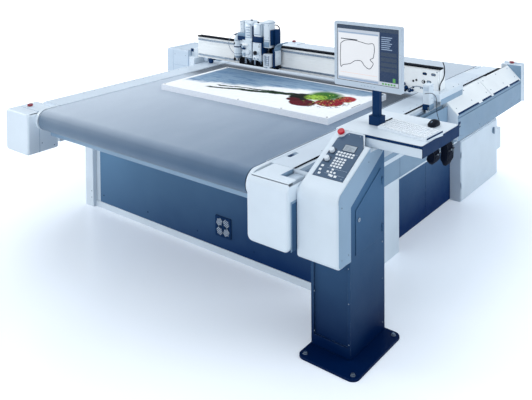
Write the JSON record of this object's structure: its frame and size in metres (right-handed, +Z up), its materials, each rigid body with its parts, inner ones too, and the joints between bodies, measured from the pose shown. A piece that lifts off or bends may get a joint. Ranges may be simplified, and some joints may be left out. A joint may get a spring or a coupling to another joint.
{
  "type": "conveyor flatbed digital cutter",
  "caption": "Flatbed cutting table with a conveyor belt, a moving gantry with a tool head, and an operator console with a monitor.",
  "frame": {"origin": "floor point under the middle of the table, at the underside of the centre foot", "axes": "+X to the right along the front edge, +Y from the front towards the rear, +Z up"},
  "size_m": [3.3394, 3.34, 1.657],
  "materials": {
    "felt": "grey-blue felt",
    "roller_metal": "turned",
    "white": "satin powder coat",
    "navy": "satin powder coat",
    "light_blue": "satin powder coat",
    "silver": "anodised",
    "steel": "ground",
    "black": "matte",
    "white_plastic": "moulded",
    "red": "moulded",
    "screen": "lit display",
    "board": "printed honeycomb board",
    "pouch": "matte",
    "key": "moulded"
  },
  "bodies": {
    "table": {"cabinet_body": "white", "cheeks_and_guides": "white", "column": "navy", "console_cover": "white", "control_panel": "navy", "conveyor_belt": "felt", "cross_members": "white", "cutter_pouches": "pouch", "end_boxes": "white", "fan_frame": "black", "gantry_rails": "steel", "keyboard": "white_plastic", "legs": "white", "monitor_pole": "navy", "navy_panels": "navy", "panel_display": "screen", "panel_keys": "key", "rail_covers": "white", "shelf_box": "white", "shelf_top": "white_plastic", "shelf_tray": "navy", "side_beams": "white", "side_duct": "light_blue", "side_duct_lids": "white", "stop_collars": "white_plastic", "vacuum_bed": "silver"},
    "front_roller": {"front_roller": "roller_metal"},
    "rear_roller": {"rear_roller": "roller_metal"},
    "workpiece": {"work_board": "board"},
    "fan": {"fan_rotor": "black"},
    "cabinet_door": {"cabinet_door": "white"},
    "cabinet_lock": {"cabinet_lock": "steel"},
    "gantry": {"gantry_beam": "silver", "beam_top_strip": "black", "beam_rails": "steel", "beam_end_plates": "silver", "gantry_legs": "white", "rail_blocks": "steel", "drive_housing_left": "light_blue"},
    "carriage": {"carriage_plate": "navy", "carriage_guides": "steel", "pointer_camera": "white_plastic"},
    "module_1": {"module_1_body": "silver"},
    "module_2": {"module_2_body": "silver"},
    "module_3": {"module_3_body": "silver"},
    "tool_1": {"module_1_tool": "steel"},
    "tool_2": {"module_2_tool": "steel"},
    "tool_3": {"module_3_tool": "steel"},
    "column_door": {"column_door": "navy"},
    "column_lock": {"column_lock": "steel"},
    "speed_knob": {"speed_knob": "white_plastic"},
    "feed_knob": {"feed_knob": "white_plastic"},
    "console_stop": {"console_stop": "red"},
    "left_stop": {"left_stop": "red"},
    "rear_left_stop": {"rear_left_stop": "red"},
    "rear_right_stop": {"rear_right_stop": "red"},
    "mouse": {"mouse": "black"},
    "monitor_neck": {"monitor_neck": "navy"},
    "monitor": {"monitor_housing": "white_plastic", "monitor_screen": "screen"}
  },
  "joints": [
    {"name": "front_roller_turn", "type": "hinge", "parent": "table", "child": "front_roller", "pos_m": [0, -1.557, 0.827], "axis": [1, 0, 0], "range_deg": [0, 470]},
    {"name": "rear_roller_turn", "type": "hinge", "parent": "table", "child": "rear_roller", "pos_m": [0, 1.55, 0.827], "axis": [1, 0, 0], "range_deg": [0, 470]},
    {"name": "board_feed", "type": "slide", "parent": "table", "child": "workpiece", "axis": [0, -1, 0], "range_m": [0, 0.6]},
    {"name": "gantry_travel", "type": "slide", "parent": "table", "child": "gantry", "axis": [0, 1, 0], "range_m": [-1.35, 0.85]},
    {"name": "carriage_travel", "type": "slide", "parent": "gantry", "child": "carriage", "axis": [1, 0, 0], "range_m": [-0.48, 1.1]},
    {"name": "module_1_lower", "type": "slide", "parent": "carriage", "child": "module_1", "axis": [0, 0, -1], "range_m": [0, 0.045]},
    {"name": "tool_1_turn", "type": "hinge", "parent": "module_1", "child": "tool_1", "pos_m": [-0.625, 0.136, 1.05], "axis": [0, 0, 1], "continuous": true},
    {"name": "module_2_lower", "type": "slide", "parent": "carriage", "child": "module_2", "axis": [0, 0, -1], "range_m": [0, 0.045]},
    {"name": "tool_2_turn", "type": "hinge", "parent": "module_2", "child": "tool_2", "pos_m": [-0.483, 0.136, 1.05], "axis": [0, 0, 1], "continuous": true},
    {"name": "module_3_lower", "type": "slide", "parent": "carriage", "child": "module_3", "axis": [0, 0, -1], "range_m": [0, 0.045]},
    {"name": "tool_3_turn", "type": "hinge", "parent": "module_3", "child": "tool_3", "pos_m": [-0.372, 0.136, 1.05], "axis": [0, 0, 1], "continuous": true},
    {"name": "fan_spin", "type": "hinge", "parent": "table", "child": "fan", "pos_m": [0.243, -1.014, 0.193], "axis": [0, 1, 0], "continuous": true},
    {"name": "cabinet_door_swing", "type": "hinge", "parent": "table", "child": "cabinet_door", "pos_m": [1.148, 0.732, 0.24], "axis": [0, 0, -1], "range_deg": [0, 105]},
    {"name": "cabinet_lock_turn", "type": "hinge", "parent": "cabinet_door", "child": "cabinet_lock", "pos_m": [1.143, 1.41, 0.4], "axis": [1, 0, 0], "range_deg": [0, 90]},
    {"name": "column_door_swing", "type": "hinge", "parent": "table", "child": "column_door", "pos_m": [1.5015, -1.16, 0.7], "axis": [0, 0, 1], "range_deg": [0, 105]},
    {"name": "column_lock_turn", "type": "hinge", "parent": "column_door", "child": "column_lock", "pos_m": [1.5, -1.398, 0.706], "axis": [1, 0, 0], "range_deg": [0, 90]},
    {"name": "speed_knob_turn", "type": "hinge", "parent": "table", "child": "speed_knob", "pos_m": [1.309, -1.34942, 1.01236], "axis": [0, -0.4824, 0.876], "range_deg": [-140, 140]},
    {"name": "feed_knob_turn", "type": "hinge", "parent": "table", "child": "feed_knob", "pos_m": [1.31, -1.40111, 0.9839], "axis": [0, -0.4824, 0.876], "range_deg": [-140, 140]},
    {"name": "console_stop_press", "type": "slide", "parent": "table", "child": "console_stop", "axis": [0, 0.4824, -0.876], "range_m": [0, 0.004]},
    {"name": "left_stop_press", "type": "slide", "parent": "table", "child": "left_stop", "axis": [0, 0, -1], "range_m": [0, 0.004]},
    {"name": "rear_left_stop_press", "type": "slide", "parent": "table", "child": "rear_left_stop", "axis": [0, 0, -1], "range_m": [0, 0.004]},
    {"name": "rear_right_stop_press", "type": "slide", "parent": "table", "child": "rear_right_stop", "axis": [0, 0, -1], "range_m": [0, 0.004]},
    {"name": "mouse_move", "type": "slide", "parent": "table", "child": "mouse", "axis": [0, 1, 0], "range_m": [-0.045, 0.045]},
    {"name": "monitor_swivel", "type": "hinge", "parent": "table", "child": "monitor_neck", "pos_m": [1.388, -1.012, 1.484], "axis": [0, 0, 1], "range_deg": [-30, 30]},
    {"name": "monitor_tilt", "type": "hinge", "parent": "monitor_neck", "child": "monitor", "pos_m": [1.388, -1.051, 1.486], "axis": [1, 0, 0], "range_deg": [-15, 5]}
  ],
  "couplings": [
    {"joint": "rear_roller_turn", "follows": "front_roller_turn", "ratio": 1},
    {"joint": "board_feed", "follows": "front_roller_turn", "m_per_rad": 0.073}
  ]
}
